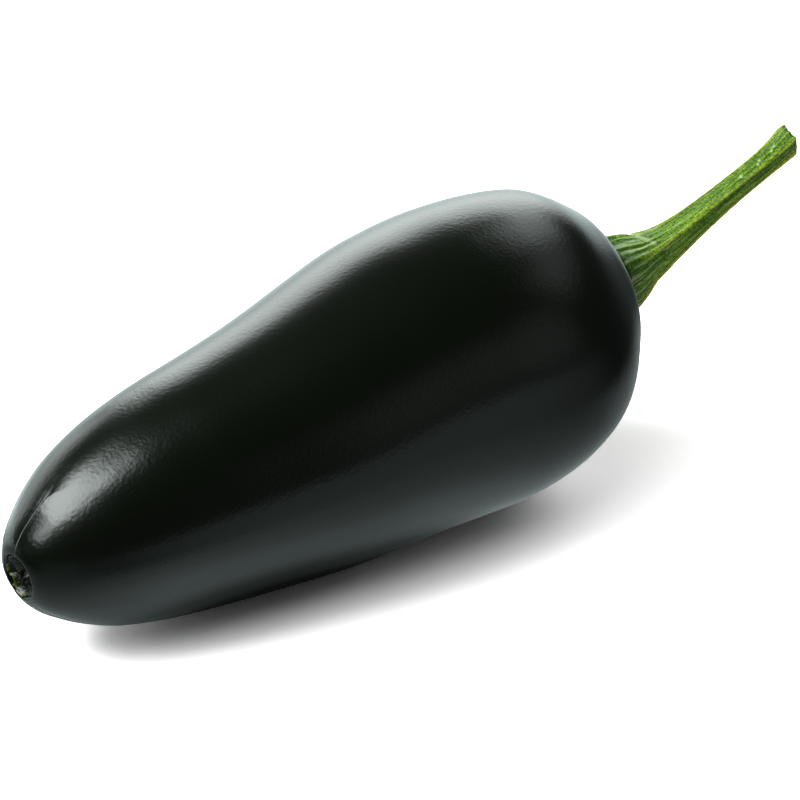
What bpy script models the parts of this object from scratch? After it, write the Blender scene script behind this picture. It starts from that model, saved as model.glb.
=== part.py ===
"""A fresh green chilli pepper of the blunt, fleshy kind, picked with its stalk and lying on its side.

Two pieces: the pod, whose blossom end gathers round a small dish with the flower's crumpled scar, and
the stem, which is the ribbed stalk with its calyx seated on the pod's shoulder. Lengths are in metres,
+Z is up, and the origin is under the middle of the whole pepper, on the surface that it lies on.

Each piece is modelled along the pod's own axis: x runs from the blossom end to the stem, and an angle
round the axis is measured from +Y towards +Z. The empty named lying_pepper then tilts and lowers them.
"""

import math

import bmesh
import bpy
import numpy as np
from mathutils import Vector

MM = 0.001

# How the pepper lies
LYING_TILT = math.radians(6.3)
RESTING_FLAT_DEPTH = 0.26 * MM
SEAT_GAP = 0.34 * MM

# The pod's outline, as (distance from the blossom end, radius)
POD_OUTLINE = [
    (0.40 * MM, 0.45 * MM),
    (0.55 * MM, 1.05 * MM),
    (1.15 * MM, 1.60 * MM),
    (0.60 * MM, 2.25 * MM),
    (0.02 * MM, 2.60 * MM),
    (0.15 * MM, 2.95 * MM),
    (1.00 * MM, 4.25 * MM),
    (3.00 * MM, 6.25 * MM),
    (7.00 * MM, 8.75 * MM),
    (12.4 * MM, 10.7 * MM),
    (19.3 * MM, 12.2 * MM),
    (27.1 * MM, 13.3 * MM),
    (35.0 * MM, 14.4 * MM),
    (42.6 * MM, 15.4 * MM),
    (50.4 * MM, 16.3 * MM),
    (57.3 * MM, 16.5 * MM),
    (63.5 * MM, 15.6 * MM),
    (69.0 * MM, 13.6 * MM),
    (73.2 * MM, 10.4 * MM),
    (75.6 * MM, 8.00 * MM),
    (76.6 * MM, 6.30 * MM),
    (76.5 * MM, 5.00 * MM),
    (76.1 * MM, 4.00 * MM),
    (75.9 * MM, 2.40 * MM),
    (75.9 * MM, 0.80 * MM),
]
POD_STEPS = 2
POD_SIDES = 60
SHOULDER_STEPS = 6

# Lobes that swell round the shoulder, and the pleats that gather into the blossom end
LOBE_COUNT = 3
LOBE_DEPTH = 0.045
LOBE_ANGLE = math.radians(80)
LOBES_START = 52 * MM
LOBES_FULL = 72 * MM
PLEAT_COUNT = 5
PLEAT_DEPTH = 0.055
PLEAT_ANGLE = math.radians(68)
PLEATS_FULL = 1.5 * MM
PLEATS_END = 10 * MM
SCAR_FOLD_COUNT = 3
SCAR_FOLD = 0.22 * MM
SCAR_RADIUS = 2.3 * MM

# The pod's axis isn't quite straight: (distance from the blossom end, shift aside), all at one angle
AXIS_SWAY = [
    (0.0 * MM, -0.10 * MM),
    (15 * MM, 0.05 * MM),
    (33 * MM, -0.65 * MM),
    (47 * MM, -0.10 * MM),
    (65 * MM, -0.65 * MM),
    (77 * MM, 0.75 * MM),
]
SWAY_STEPS = 16
SWAY_ANGLE = math.radians(15)

# The calyx, a low saucer with blunt points, hugging the shoulder
CALYX_RADIUS = 5.2 * MM
CALYX_ASIDE = -0.45 * MM
CALYX_POINTS = 5
CALYX_POINT_SHARE = 0.075
CALYX_THICKNESS = 0.65 * MM
CALYX_SECTION = [(0.14, 0.0), (0.42, 0.0), (0.70, 0.0), (0.90, 0.0), (1.0, 0.15), (1.02, 0.55), (0.96, 1.0)]

# The stalk, as (distance from the shoulder, radius), from the calyx to the cut
STALK_OUTLINE = [
    (2.1 * MM, 4.40 * MM),
    (3.2 * MM, 4.05 * MM),
    (4.7 * MM, 3.35 * MM),
    (6.2 * MM, 2.85 * MM),
    (6.6 * MM, 2.70 * MM),
    (7.1 * MM, 2.65 * MM),
    (9.5 * MM, 2.20 * MM),
    (12.8 * MM, 1.82 * MM),
    (16.8 * MM, 1.60 * MM),
    (20.8 * MM, 1.48 * MM),
    (24.3 * MM, 1.46 * MM),
    (27.2 * MM, 1.54 * MM),
    (29.1 * MM, 1.60 * MM),
]
STALK_STEPS = 2
STALK_SIDES = 50
CUT_DISH = [(0.0, 0.90), (-0.12 * MM, 0.72), (-0.30 * MM, 0.42), (-0.22 * MM, 0.16)]
CUT_SLANT = math.radians(-18)
CUT_SLANT_START = 22 * MM
RIB_ANGLE = math.radians(92)
RIB_DEPTH = 0.10
SMALL_RIB_DEPTH = 0.05
RIB_TWIST = math.radians(24)
STALK_RISE = math.radians(18)
STALK_SIDE_TURN = math.radians(-3)
STALK_BEND_START = 1.5 * MM
STALK_BEND_END = 15 * MM
STALK_BEND_STEP = 0.25 * MM

# Finishes
POD_GREEN = (0.012, 0.026, 0.010)
POD_ROUGHNESS = 0.28
STEM_GREEN = (0.130, 0.260, 0.045)
STEM_ROUGHNESS = 0.6
SHARP_EDGE = math.radians(35)


def clear_scene():
    for thing in list(bpy.data.objects):
        bpy.data.objects.remove(thing, do_unlink=True)


def finish(name, colour, roughness):
    """A plain finish for one piece."""
    material = bpy.data.materials.new(name)
    material.use_nodes = True
    shader = material.node_tree.nodes["Principled BSDF"]
    shader.inputs["Base Color"].default_value = (*colour, 1.0)
    shader.inputs["Roughness"].default_value = roughness
    shader.inputs["Metallic"].default_value = 0.0
    return material


def ease(start, end, value):
    """0 before start, 1 after end, and a soft step between them."""
    share = min(max((value - start) / (end - start), 0.0), 1.0)
    return share * share * (3 - 2 * share)


def smooth_line(points, steps):
    """A smooth line through the points, with so many steps from each point to the next."""
    line = np.array(points)
    lengths = np.linalg.norm(np.diff(line, axis=0), axis=1)
    along = np.concatenate([[0.0], np.cumsum(lengths)])
    slopes = np.gradient(line, along, axis=0)
    made = []
    for k, length in enumerate(lengths):
        for share in np.arange(steps) / steps:
            rest = 1 - share
            made.append(
                line[k] * (1 + 2 * share) * rest**2
                + slopes[k] * length * share * rest**2
                + line[k + 1] * (1 + 2 * rest) * share**2
                - slopes[k + 1] * length * rest * share**2
            )
    made.append(line[-1])
    return [(float(x), float(r)) for x, r in made]


AXIS_LINE = smooth_line(AXIS_SWAY, SWAY_STEPS)


def angles(count):
    return [2 * math.pi * k / count for k in range(count)]


def swell(x, angle):
    """How much wider than its outline the pod is at this place: lobes at the shoulder, pleats at the tip."""
    lobes = LOBE_DEPTH * ease(LOBES_START, LOBES_FULL, x)
    pleats = PLEAT_DEPTH * (1 - ease(PLEATS_FULL, PLEATS_END, x))
    return (
        1
        + lobes * math.cos(LOBE_COUNT * (angle - LOBE_ANGLE))
        + pleats * math.cos(PLEAT_COUNT * (angle - PLEAT_ANGLE))
    )


def axis_point(x):
    """Where the pod's swaying axis passes, at this distance from the blossom end."""
    aside = float(np.interp(x, *np.transpose(AXIS_LINE)))
    return Vector((x, aside * math.cos(SWAY_ANGLE), aside * math.sin(SWAY_ANGLE)))


def round_axis(centre, radius, angle):
    return centre + Vector((0.0, radius * math.cos(angle), radius * math.sin(angle)))


def scar_fold(x, radius, angle):
    """How far the folds of the flower's torn scar rise or sink in the blossom end's dish."""
    inside = ease(SCAR_RADIUS, SCAR_RADIUS / 2, radius) * ease(PLEATS_END, PLEATS_FULL, x)
    return SCAR_FOLD * inside * math.cos(SCAR_FOLD_COUNT * angle)


def skin_ring(x, radius, sides):
    """One ring of the pod's skin."""
    centre = axis_point(x)
    ring = []
    for angle in angles(sides):
        point = round_axis(centre, radius * swell(x, angle), angle)
        point.x += scar_fold(x, radius, angle)
        ring.append(point)
    return ring


def shoulder_height(radius):
    """How far from the blossom end the shoulder's skin is, at this distance from the axis."""
    shoulder = sorted((r, x) for x, r in smooth_line(POD_OUTLINE, SHOULDER_STEPS) if x > LOBES_FULL)
    return float(np.interp(radius, [r for r, _ in shoulder], [x for _, x in shoulder]))


def closed_skin(name, rings, material):
    """One closed piece: a ring of points extruded and moved from place to place, with both ends filled."""
    skin = bmesh.new()
    ring = [skin.verts.new(point) for point in rings[0]]
    edges = [skin.edges.new((ring[k - 1], ring[k])) for k in range(len(ring))]
    first_end = edges
    for points in rings[1:]:
        made = bmesh.ops.extrude_edge_only(skin, edges=edges)["geom"]
        fresh = {v for v in made if isinstance(v, bmesh.types.BMVert)}
        edges = [e for e in made if isinstance(e, bmesh.types.BMEdge) and fresh.issuperset(e.verts)]
        ring = [next(e.other_vert(v) for e in v.link_edges if e.other_vert(v) in fresh) for v in ring]
        for vertex, point in zip(ring, points):
            vertex.co = point
    for end in (first_end, edges):
        cap = bmesh.ops.contextual_create(skin, geom=end)["faces"]
        bmesh.ops.poke(skin, faces=cap)
    bmesh.ops.recalc_face_normals(skin, faces=skin.faces)
    mesh = bpy.data.meshes.new(name)
    skin.to_mesh(mesh)
    skin.free()
    mesh.shade_smooth()
    mesh.materials.append(material)
    piece = bpy.data.objects.new(name, mesh)
    bpy.context.scene.collection.objects.link(piece)
    return piece


def make_pod():
    """The fleshy pod, from the dish at the blossom end to the shallow seat of the calyx."""
    outline = smooth_line(POD_OUTLINE, POD_STEPS)
    rings = [skin_ring(x, radius, POD_SIDES) for x, radius in outline]
    return closed_skin("pod", rings, finish("pod_skin", POD_GREEN, POD_ROUGHNESS))


def rib(angle, distance):
    """How much the stalk's ribs stand out or sink in, as a share of its radius."""
    turn = angle - RIB_ANGLE - RIB_TWIST * distance / STALK_OUTLINE[-1][0]
    large = RIB_DEPTH * math.cos(CALYX_POINTS * turn)
    small = SMALL_RIB_DEPTH * math.cos(2 * CALYX_POINTS * turn)
    return large + small


def calyx_edge(angle):
    """The calyx's radius, which runs out to a blunt point at each rib."""
    return CALYX_RADIUS * (1 + CALYX_POINT_SHARE * math.cos(CALYX_POINTS * (angle - RIB_ANGLE)))


def calyx_aside():
    """How far the calyx sits to one side of the pod's axis."""
    return round_axis(Vector(), CALYX_ASIDE, SWAY_ANGLE)


def calyx_ring(share, lift_share):
    """A ring of the calyx, at a share of its radius and of its thickness, over the seat on the shoulder."""
    lift = SEAT_GAP + lift_share * CALYX_THICKNESS
    ring = []
    for angle in angles(STALK_SIDES):
        aside = round_axis(calyx_aside(), share * calyx_edge(angle), angle)
        pod_angle = math.atan2(aside.z, aside.y)
        x = shoulder_height(aside.length / swell(LOBES_FULL, pod_angle)) + lift
        ring.append(axis_point(x) + aside)
    return ring


def stalk_frames(distances):
    """Centre, side direction and upward direction of the bent stalk at each distance from the shoulder."""
    centre = axis_point(shoulder_height(0.0)) + calyx_aside()
    frames = []
    passed = 0.0
    for distance in distances:
        while passed < distance:
            bend = ease(STALK_BEND_START, STALK_BEND_END, passed)
            rise = STALK_RISE * bend
            turn = STALK_SIDE_TURN * bend
            stride = min(STALK_BEND_STEP, distance - passed)
            forward = Vector((math.cos(rise) * math.cos(turn), math.cos(rise) * math.sin(turn), math.sin(rise)))
            centre = centre + forward * stride
            passed += stride
        side = Vector((-math.sin(turn), math.cos(turn), 0.0))
        frames.append((centre.copy(), forward, side, forward.cross(side)))
    return frames


def stalk_ring(frame, distance, radius, ribbed=1.0):
    """A ribbed ring of the stalk. Towards the end the rings slant, to match the slanting cut."""
    centre, forward, side, upward = frame
    slant = math.tan(CUT_SLANT) * ease(CUT_SLANT_START, STALK_OUTLINE[-1][0], distance)
    ring = []
    for angle in angles(STALK_SIDES):
        out = radius * (1 + ribbed * rib(angle, distance))
        across = side * math.cos(angle) + upward * math.sin(angle)
        ring.append(centre + across * out - forward * slant * out * math.sin(angle))
    return ring


def make_stem():
    """The stalk with its calyx: the underside on the shoulder, the rim, the flare and the ribbed stalk."""
    rings = [calyx_ring(share, lift_share) for share, lift_share in CALYX_SECTION]
    outline = smooth_line(STALK_OUTLINE, STALK_STEPS)
    cut_distance, cut_radius = STALK_OUTLINE[-1]
    frames = stalk_frames([distance for distance, _ in outline])
    for frame, (distance, radius) in zip(frames, outline):
        rings.append(stalk_ring(frame, distance, radius))
    centre, forward, side, upward = frames[-1]
    for sink, share in CUT_DISH:
        frame = (centre + forward * sink, forward, side, upward)
        rings.append(stalk_ring(frame, cut_distance, cut_radius * share, share))
    return closed_skin("stem", rings, finish("stem_green", STEM_GREEN, STEM_ROUGHNESS))


def lay_down(pieces):
    """Tilts the pieces as one, sinks the lowest skin by the depth of the resting flat and centres them."""
    lying = bpy.data.objects.new("lying_pepper", None)
    bpy.context.scene.collection.objects.link(lying)
    lying.rotation_euler = (0.0, -LYING_TILT, 0.0)
    bpy.context.view_layer.update()
    tilt = lying.matrix_world.copy()
    points = np.array([tilt @ v.co for piece in pieces for v in piece.data.vertices])
    low = points.min(axis=0)
    middle = (low + points.max(axis=0)) / 2
    lying.location = (-middle[0], -middle[1], -low[2] - RESTING_FLAT_DEPTH)
    for piece in pieces:
        piece.parent = lying
    bpy.context.view_layer.update()
    return lying


def press_flat(pod, lying):
    """Cuts the small flat on the pod's belly where its flesh presses on the surface."""
    to_pod = lying.matrix_world.inverted()
    floor_point = to_pod @ Vector((0.0, 0.0, 0.0))
    floor_normal = to_pod.to_3x3() @ Vector((0.0, 0.0, 1.0))
    skin = bmesh.new()
    skin.from_mesh(pod.data)
    whole = skin.verts[:] + skin.edges[:] + skin.faces[:]
    cut = bmesh.ops.bisect_plane(
        skin, geom=whole, dist=0.01 * MM, plane_co=floor_point, plane_no=floor_normal, clear_inner=True
    )
    rim = [e for e in cut["geom_cut"] if isinstance(e, bmesh.types.BMEdge)]
    bmesh.ops.contextual_create(skin, geom=rim)
    bmesh.ops.recalc_face_normals(skin, faces=skin.faces)
    skin.to_mesh(pod.data)
    skin.free()
    pod.data.set_sharp_from_angle(angle=SHARP_EDGE)


clear_scene()
pod_piece = make_pod()
stem_piece = make_stem()
lying_pepper = lay_down([pod_piece, stem_piece])
press_flat(pod_piece, lying_pepper)
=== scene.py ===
import math

import bpy
import numpy as np
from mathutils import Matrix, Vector, noise


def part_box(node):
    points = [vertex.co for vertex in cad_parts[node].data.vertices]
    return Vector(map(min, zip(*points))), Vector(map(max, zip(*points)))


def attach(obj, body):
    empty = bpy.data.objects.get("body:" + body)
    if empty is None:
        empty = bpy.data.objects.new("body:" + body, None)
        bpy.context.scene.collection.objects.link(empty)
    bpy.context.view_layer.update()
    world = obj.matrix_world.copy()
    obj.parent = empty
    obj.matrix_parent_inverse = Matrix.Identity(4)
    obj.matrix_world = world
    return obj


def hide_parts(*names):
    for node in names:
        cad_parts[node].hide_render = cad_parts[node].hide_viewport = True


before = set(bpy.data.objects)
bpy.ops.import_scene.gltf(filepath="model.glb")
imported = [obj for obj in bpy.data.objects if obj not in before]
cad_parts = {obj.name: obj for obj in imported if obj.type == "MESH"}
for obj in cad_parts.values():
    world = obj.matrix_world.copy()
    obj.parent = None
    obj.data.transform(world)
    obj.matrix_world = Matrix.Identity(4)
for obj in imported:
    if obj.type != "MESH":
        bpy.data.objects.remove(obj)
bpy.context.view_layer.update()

# The pod
# The fleshy fruit of a blunt green chilli: one closed berry under a taut, waxy, near-black green skin.
# It grew as one piece, from three low lobes round the stem's seat to the blossom end, where five pleats
# gather round a small dish. It rests on a small flat that its own weight presses in its belly.

MM = 0.001
LYING_TILT = math.radians(6.3)

# The pod's outline, as (distance from the blossom end, radius)
POD_OUTLINE = [
    (1.45 * MM, 0.00 * MM),
    (1.45 * MM, 0.60 * MM),
    (1.42 * MM, 1.20 * MM),
    (1.20 * MM, 1.70 * MM),
    (0.62 * MM, 2.25 * MM),
    (0.02 * MM, 2.60 * MM),
    (0.12 * MM, 2.98 * MM),
    (0.95 * MM, 4.35 * MM),
    (2.90 * MM, 6.22 * MM),
    (7.00 * MM, 8.75 * MM),
    (12.4 * MM, 10.7 * MM),
    (19.3 * MM, 12.2 * MM),
    (27.1 * MM, 13.3 * MM),
    (35.0 * MM, 14.4 * MM),
    (42.6 * MM, 15.4 * MM),
    (50.4 * MM, 16.3 * MM),
    (57.3 * MM, 16.5 * MM),
    (63.5 * MM, 15.6 * MM),
    (69.0 * MM, 13.6 * MM),
    (73.2 * MM, 10.4 * MM),
    (75.6 * MM, 8.00 * MM),
    (76.6 * MM, 6.30 * MM),
    (76.5 * MM, 5.00 * MM),
    (76.1 * MM, 4.00 * MM),
    (75.9 * MM, 2.40 * MM),
    (75.9 * MM, 0.80 * MM),
    (75.9 * MM, 0.00 * MM),
]
RIM_RADIUS = 2.6 * MM
POD_SIDES = 240
FINEST_STEP = 0.10 * MM
WIDEST_STEP = 0.36 * MM
STEP_SHARE = 1 / 25

# Lobes that swell round the shoulder, and the pleats that gather into the blossom end
LOBE_COUNT = 3
LOBE_DEPTH = 0.045
LOBE_ANGLE = math.radians(80)
LOBES_START = 52 * MM
LOBES_FULL = 72 * MM
# The pleats, as (angle, depth as a share of the radius, length)
PLEATS = [
    (math.radians(18), 0.030, 7 * MM),
    (math.radians(163), 0.015, 6 * MM),
    (math.radians(238), 0.040, 8 * MM),
    (math.radians(306), 0.060, 9 * MM),
]
PLEAT_SPREAD = math.radians(11)
PLEAT_ROUNDING = math.radians(1.5)
# The fifth pleat is a fold: one side stands over the other
FOLD_ANGLE = math.radians(90)
FOLD_RISE = 0.036
FOLD_SINK = 0.020
FOLD_EDGE = math.radians(2)
FOLD_EDGE_END = math.radians(40)
FOLD_SHARP_LENGTH = 4 * MM
FOLD_SPREAD = math.radians(42)
FOLD_LENGTH = 10 * MM
# Fine creases along the fold, as (angle, height, where it starts, where it ends), each with soft ends
CREASES = [
    (math.radians(94.5), -0.016 * MM, 0.5 * MM, 5.0 * MM),
    (math.radians(87.0), -0.018 * MM, 0.3 * MM, 9.0 * MM),
]
CREASE_WIDTH = math.radians(2.2)
CREASE_ENTRY = 1 * MM
CREASE_FADE = 3 * MM
# The mesh is finer where the creases are
CREASED_HALF_ANGLE = math.radians(22)
CREASED_LENGTH = 11 * MM

# The pod's axis isn't quite straight: (distance from the blossom end, shift aside), all at one angle
AXIS_SWAY = [
    (0.0 * MM, -0.10 * MM),
    (15 * MM, 0.05 * MM),
    (33 * MM, -0.65 * MM),
    (47 * MM, -0.10 * MM),
    (65 * MM, -0.65 * MM),
    (77 * MM, 0.75 * MM),
]
SWAY_ANGLE = math.radians(15)
# The dish sits a little aside
TIP_ASIDE = 0.32 * MM
TIP_ASIDE_ANGLE = math.radians(-34)
TIP_ASIDE_LENGTH = 3.5 * MM

# Slow swells and dents of the skin
DENT_DEPTH = 0.16 * MM
DENT_LENGTH = 15 * MM
DENT_TURNS = 1.3
DENT_LEAN = 0.35
RIPPLE_DEPTH = 0.013 * MM
RIPPLE_LENGTH = 2.6 * MM
# Both fade out inside this radius, towards the pod's axis
UNEVEN_RADIUS = 4 * MM

SKIN_ROUGHNESS = 0.22
# The green is slightly mottled, and the skin's cells make it faintly uneven
MOTTLE_SCALE = 90.0
CELL_SCALE = 2400.0
CELL_HEIGHT = 0.019 * MM
DARK_GREEN = (0.0008, 0.0016, 0.0005, 1.0)
LIGHTER_GREEN = (0.0018, 0.0034, 0.0010, 1.0)


def ease(start, end, value):
    """0 before start, 1 after end, and a soft step between them."""
    share = np.clip((value - start) / (end - start), 0.0, 1.0)
    return share * share * (3 - 2 * share)


def smooth_line(points):
    """A smooth line through the points, in steps that are finer near the axis."""
    line = np.array(points)
    lengths = np.linalg.norm(np.diff(line, axis=0), axis=1)
    along = np.concatenate([[0.0], np.cumsum(lengths)])
    slopes = np.gradient(line, along, axis=0)
    made = []
    for k, length in enumerate(lengths):
        step = min(max(line[k, 1] * STEP_SHARE, FINEST_STEP), WIDEST_STEP)
        share = np.linspace(0.0, 1.0, math.ceil(length / step), endpoint=False)[:, None]
        rest = 1 - share
        made.append(
            line[k] * (1 + 2 * share) * rest**2
            + slopes[k] * length * share * rest**2
            + line[k + 1] * (1 + 2 * rest) * share**2
            - slopes[k + 1] * length * rest * share**2
        )
    return np.vstack([*made, line[-1:]])


def turned(name, outline, sides):
    """A round form: its outline is drawn from one point by extruding, and then spun about the X axis."""
    bpy.ops.object.select_all(action="DESELECT")
    bpy.ops.mesh.primitive_circle_add(vertices=3, radius=MM)
    piece = bpy.context.object
    piece.name = piece.data.name = name
    bpy.ops.object.mode_set(mode="EDIT")
    bpy.ops.mesh.merge(type="CENTER")
    bpy.ops.transform.translate(value=(outline[0][0], 0.0, outline[0][1]))
    for step_x, step_out in np.diff(outline, axis=0):
        bpy.ops.mesh.extrude_region_move(TRANSFORM_OT_translate={"value": (step_x, 0.0, step_out)})
    bpy.ops.mesh.select_all(action="SELECT")
    bpy.ops.mesh.spin(steps=sides, angle=2 * math.pi, center=(0, 0, 0), axis=(1, 0, 0))
    bpy.ops.mesh.select_all(action="SELECT")
    bpy.ops.mesh.remove_doubles(threshold=FINEST_STEP / 50)
    bpy.ops.mesh.normals_make_consistent(inside=False)
    bpy.ops.object.mode_set(mode="OBJECT")
    bpy.ops.object.shade_smooth()
    return piece


def vertex_places(piece):
    places = np.empty(len(piece.data.vertices) * 3)
    piece.data.vertices.foreach_get("co", places)
    return places.reshape(-1, 3)


def set_places(piece, places):
    piece.data.vertices.foreach_set("co", places.astype(np.float32).ravel())
    piece.data.update()


def round_places(piece):
    """Distance along the axis, radius and angle of every vertex of a turned form."""
    x, y, z = vertex_places(piece).T
    return x, np.hypot(y, z), np.arctan2(z, y)


def turn_between(angle, other):
    """The turn from one angle to another, at most half a turn either way."""
    return (angle - other + math.pi) % (2 * math.pi) - math.pi


def swell(x, angle):
    """How much wider than its outline the pod is at this place: lobes at the shoulder, pleats at the tip."""
    wider = 1 + LOBE_DEPTH * ease(LOBES_START, LOBES_FULL, x) * np.cos(LOBE_COUNT * (angle - LOBE_ANGLE))
    for pleat_angle, depth, length in PLEATS:
        off = np.hypot(turn_between(angle, pleat_angle), PLEAT_ROUNDING)
        wider -= depth * np.exp(-off / PLEAT_SPREAD) * (1 - ease(0.0, length, x))
    off = turn_between(angle, FOLD_ANGLE)
    edge = FOLD_EDGE + (FOLD_EDGE_END - FOLD_EDGE) * ease(FOLD_SHARP_LENGTH, FOLD_LENGTH, x)
    over = FOLD_RISE * ease(-edge, edge, off) - FOLD_SINK * ease(-edge, edge, -off)
    return wider + over * np.exp(-np.abs(off) / FOLD_SPREAD) * (1 - ease(0.0, FOLD_LENGTH, x))


def creases(x, angle):
    """How far the fine creases stand out of the skin or sink into it."""
    height = np.zeros_like(x)
    for crease_angle, rise, start, end in CREASES:
        along = ease(start, start + CREASE_ENTRY, x) * (1 - ease(end - CREASE_FADE, end, x))
        height += rise * along * np.exp(-((turn_between(angle, crease_angle) / CREASE_WIDTH) ** 2))
    return height


AXIS_LINE = smooth_line(AXIS_SWAY)


def axis_place(x):
    """Where the pod's swaying axis passes, at these distances from the blossom end."""
    sway = np.interp(x, *AXIS_LINE.T)
    tip = TIP_ASIDE * (1 - ease(0.0, TIP_ASIDE_LENGTH, x))
    across = sway * math.cos(SWAY_ANGLE) + tip * math.cos(TIP_ASIDE_ANGLE)
    up = sway * math.sin(SWAY_ANGLE) + tip * math.sin(TIP_ASIDE_ANGLE)
    return np.column_stack([x, across, up])


def aside(radius, angle):
    """A step of this length away from the axis, at this angle round it."""
    return np.column_stack([np.zeros_like(angle), radius * np.cos(angle), radius * np.sin(angle)])


def dents(x, angle):
    """The slow unevenness of the skin, more inward than outward."""
    found = [
        noise.noise((DENT_TURNS * math.cos(a), DENT_TURNS * math.sin(a), place / DENT_LENGTH))
        for place, a in zip(x, angle)
    ]
    return DENT_DEPTH * (np.array(found) - DENT_LEAN) / 2


def ripples(places, length):
    """Noise of either sign at these places, whose waves have about this length."""
    return np.array([noise.noise(place) for place in places / length])


def lay_down(piece):
    """Tilts a piece that was made along the pod's axis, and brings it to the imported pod's place."""
    piece.location = LYING_PLACE
    piece.rotation_euler = (0.0, -LYING_TILT, 0.0)
    bpy.ops.object.select_all(action="DESELECT")
    piece.select_set(True)
    bpy.context.view_layer.objects.active = piece
    bpy.ops.object.transform_apply(location=True, rotation=True, scale=True)


def lying_place(piece):
    """The move that brings the tilted pod's ends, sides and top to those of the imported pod."""
    x, y, z = vertex_places(piece).T
    forward, up = math.cos(LYING_TILT), math.sin(LYING_TILT)
    tilted = np.column_stack([x * forward - z * up, y, x * up + z * forward])
    low, high = (np.array(corner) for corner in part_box("pod"))
    middle_move = (low + high) / 2 - (tilted.min(axis=0) + tilted.max(axis=0)) / 2
    return (middle_move[0], middle_move[1], high[2] - tilted[:, 2].max())


def add_node(material, kind, settings=(), **sockets):
    """A node of this kind, with its settings and its input sockets' values."""
    made = material.node_tree.nodes.new("ShaderNode" + kind)
    for name, value in dict(settings).items():
        setattr(made, name, value)
    for name, value in sockets.items():
        made.inputs[name.replace("_", " ")].default_value = value
    return made


def link(material, output, socket):
    material.node_tree.links.new(output, socket)


def plain_finish(name, roughness, specular=0.5):
    """A new material and its shader, with what is the same all over on the shader's own sockets."""
    material = bpy.data.materials.new(name)
    material.use_nodes = True
    shader = material.node_tree.nodes["Principled BSDF"]
    shader.inputs["Roughness"].default_value = roughness
    shader.inputs["Specular IOR Level"].default_value = specular
    return material, shader


def mix_colours(material, factor, first, second):
    """Mixes two colours, each of which is a value or another node's output, by the factor."""
    mix = add_node(material, "Mix", {"data_type": "RGBA"})
    link(material, factor, mix.inputs["Factor"])
    for name, colour in (("A", first), ("B", second)):
        socket = next(s for s in mix.inputs if s.name == name and s.type == "RGBA")
        if isinstance(colour, tuple):
            socket.default_value = colour
        else:
            link(material, colour, socket)
    return next(s for s in mix.outputs if s.type == "RGBA")


pod = turned("pod_skin_shell", smooth_line(POD_OUTLINE), POD_SIDES)
bpy.ops.object.mode_set(mode="EDIT")
bpy.ops.mesh.select_all(action="DESELECT")
bpy.ops.object.mode_set(mode="OBJECT")
for face in pod.data.polygons:
    along, across, up = face.center
    off = abs(turn_between(math.atan2(up, across), FOLD_ANGLE))
    on_rim = math.hypot(across, up) > RIM_RADIUS
    face.select = off < CREASED_HALF_ANGLE and along < CREASED_LENGTH and on_rim
bpy.ops.object.mode_set(mode="EDIT")
bpy.ops.mesh.subdivide(number_cuts=2)
bpy.ops.object.mode_set(mode="OBJECT")
x, radius, angle = round_places(pod)
outer = ease(0.0, UNEVEN_RADIUS, radius)
ripple = RIPPLE_DEPTH * (ripples(vertex_places(pod), RIPPLE_LENGTH) - 1) / 2
outward = radius * swell(x, angle) + creases(x, angle) + (dents(x, angle) + ripple) * outer
set_places(pod, axis_place(x) + aside(outward, angle))
LYING_PLACE = lying_place(pod)
lay_down(pod)

# The flat under the belly, on the table top
bpy.ops.object.mode_set(mode="EDIT")
bpy.ops.mesh.select_all(action="SELECT")
bpy.ops.mesh.bisect(
    plane_co=(0, 0, 0), plane_no=(0, 0, 1), use_fill=True, clear_inner=True, threshold=FINEST_STEP / 100
)
bpy.ops.object.mode_set(mode="OBJECT")

skin, skin_shader = plain_finish("waxy_dark_skin", SKIN_ROUGHNESS)
skin_place = add_node(skin, "TexCoord")
mottle = add_node(skin, "TexNoise", Scale=MOTTLE_SCALE, Detail=4.0)
link(skin, skin_place.outputs["Object"], mottle.inputs["Vector"])
skin_green = mix_colours(skin, mottle.outputs["Fac"], DARK_GREEN, LIGHTER_GREEN)
link(skin, skin_green, skin_shader.inputs["Base Color"])
cells = add_node(skin, "TexNoise", Scale=CELL_SCALE, Detail=1.0, Roughness=0.5)
link(skin, skin_place.outputs["Object"], cells.inputs["Vector"])
fine_bump = add_node(skin, "Bump", Strength=1.0, Distance=CELL_HEIGHT)
link(skin, cells.outputs["Fac"], fine_bump.inputs["Height"])
link(skin, fine_bump.outputs["Normal"], skin_shader.inputs["Normal"])
pod.data.materials.append(skin)
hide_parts("pod")
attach(pod, "root")

# The scar of the flower
# Where the flower sat, the dish at the blossom end holds its crumpled scar, the pod's own dried tissue: a
# dark, wrinkled lump, folded skin beside it, and the thin, pale green torn edge of the fallen flower.

# The dish that it lines, as (radius, depth)
SCAR_BOWL = [
    (0.00 * MM, 0.95 * MM),
    (1.50 * MM, 0.98 * MM),
    (1.95 * MM, 0.72 * MM),
    (2.30 * MM, 0.38 * MM),
    (2.52 * MM, 0.36 * MM),
]
SCAR_RADIUS = SCAR_BOWL[-1][0]
SCAR_STEPS = 54
SCAR_SIDES = 240
# It is closed behind, inside the flesh, this much deeper than the dish
SCAR_BACK = 0.30 * MM
SCAR_BACK_RADIUS = 0.9 * SCAR_RADIUS
# Its relief fades out from this share of its radius to its rim
RELIEF_SHARE = 0.80
# It takes on the pod's pleats between these shares of its radius
PLEATED_START = 0.4
PLEATED_FULL = 0.85
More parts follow.
